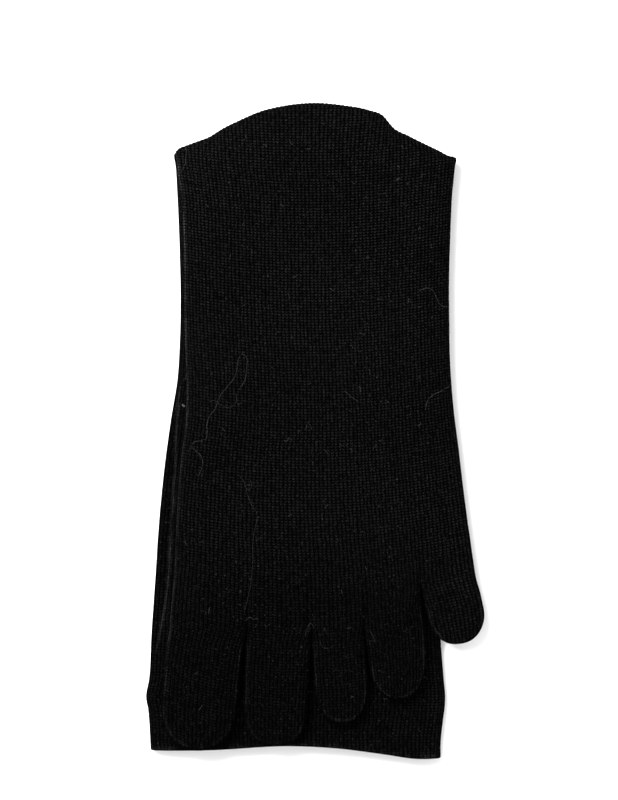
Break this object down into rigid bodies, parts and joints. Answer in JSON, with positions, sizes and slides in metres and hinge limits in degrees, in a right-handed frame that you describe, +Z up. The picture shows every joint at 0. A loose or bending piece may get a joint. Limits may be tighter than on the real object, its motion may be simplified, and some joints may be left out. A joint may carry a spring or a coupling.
{
  "type": "toe sock",
  "caption": "Knitted toe sock folded flat, sole up, with separate toe pockets, a heel pocket and its leg turned back underneath.",
  "frame": {"origin": "middle of the bounding box, on the surface that the folded leg lies on", "axes": "+Y from the toes to the heel, +Z up through the sole, +X towards the little toe"},
  "size_m": [0.1124, 0.2194, 0.0139],
  "materials": {
    "black_cotton_knit": "matte plain-knit cotton, black, with fine wales along the sock"
  },
  "bodies": {
    "root": {"cuff": "black_cotton_knit", "leg": "black_cotton_knit", "heel": "black_cotton_knit", "foot": "black_cotton_knit", "big_toe": "black_cotton_knit", "second_toe": "black_cotton_knit", "third_toe": "black_cotton_knit", "fourth_toe": "black_cotton_knit", "little_toe": "black_cotton_knit"}
  },
  "joints": []
}
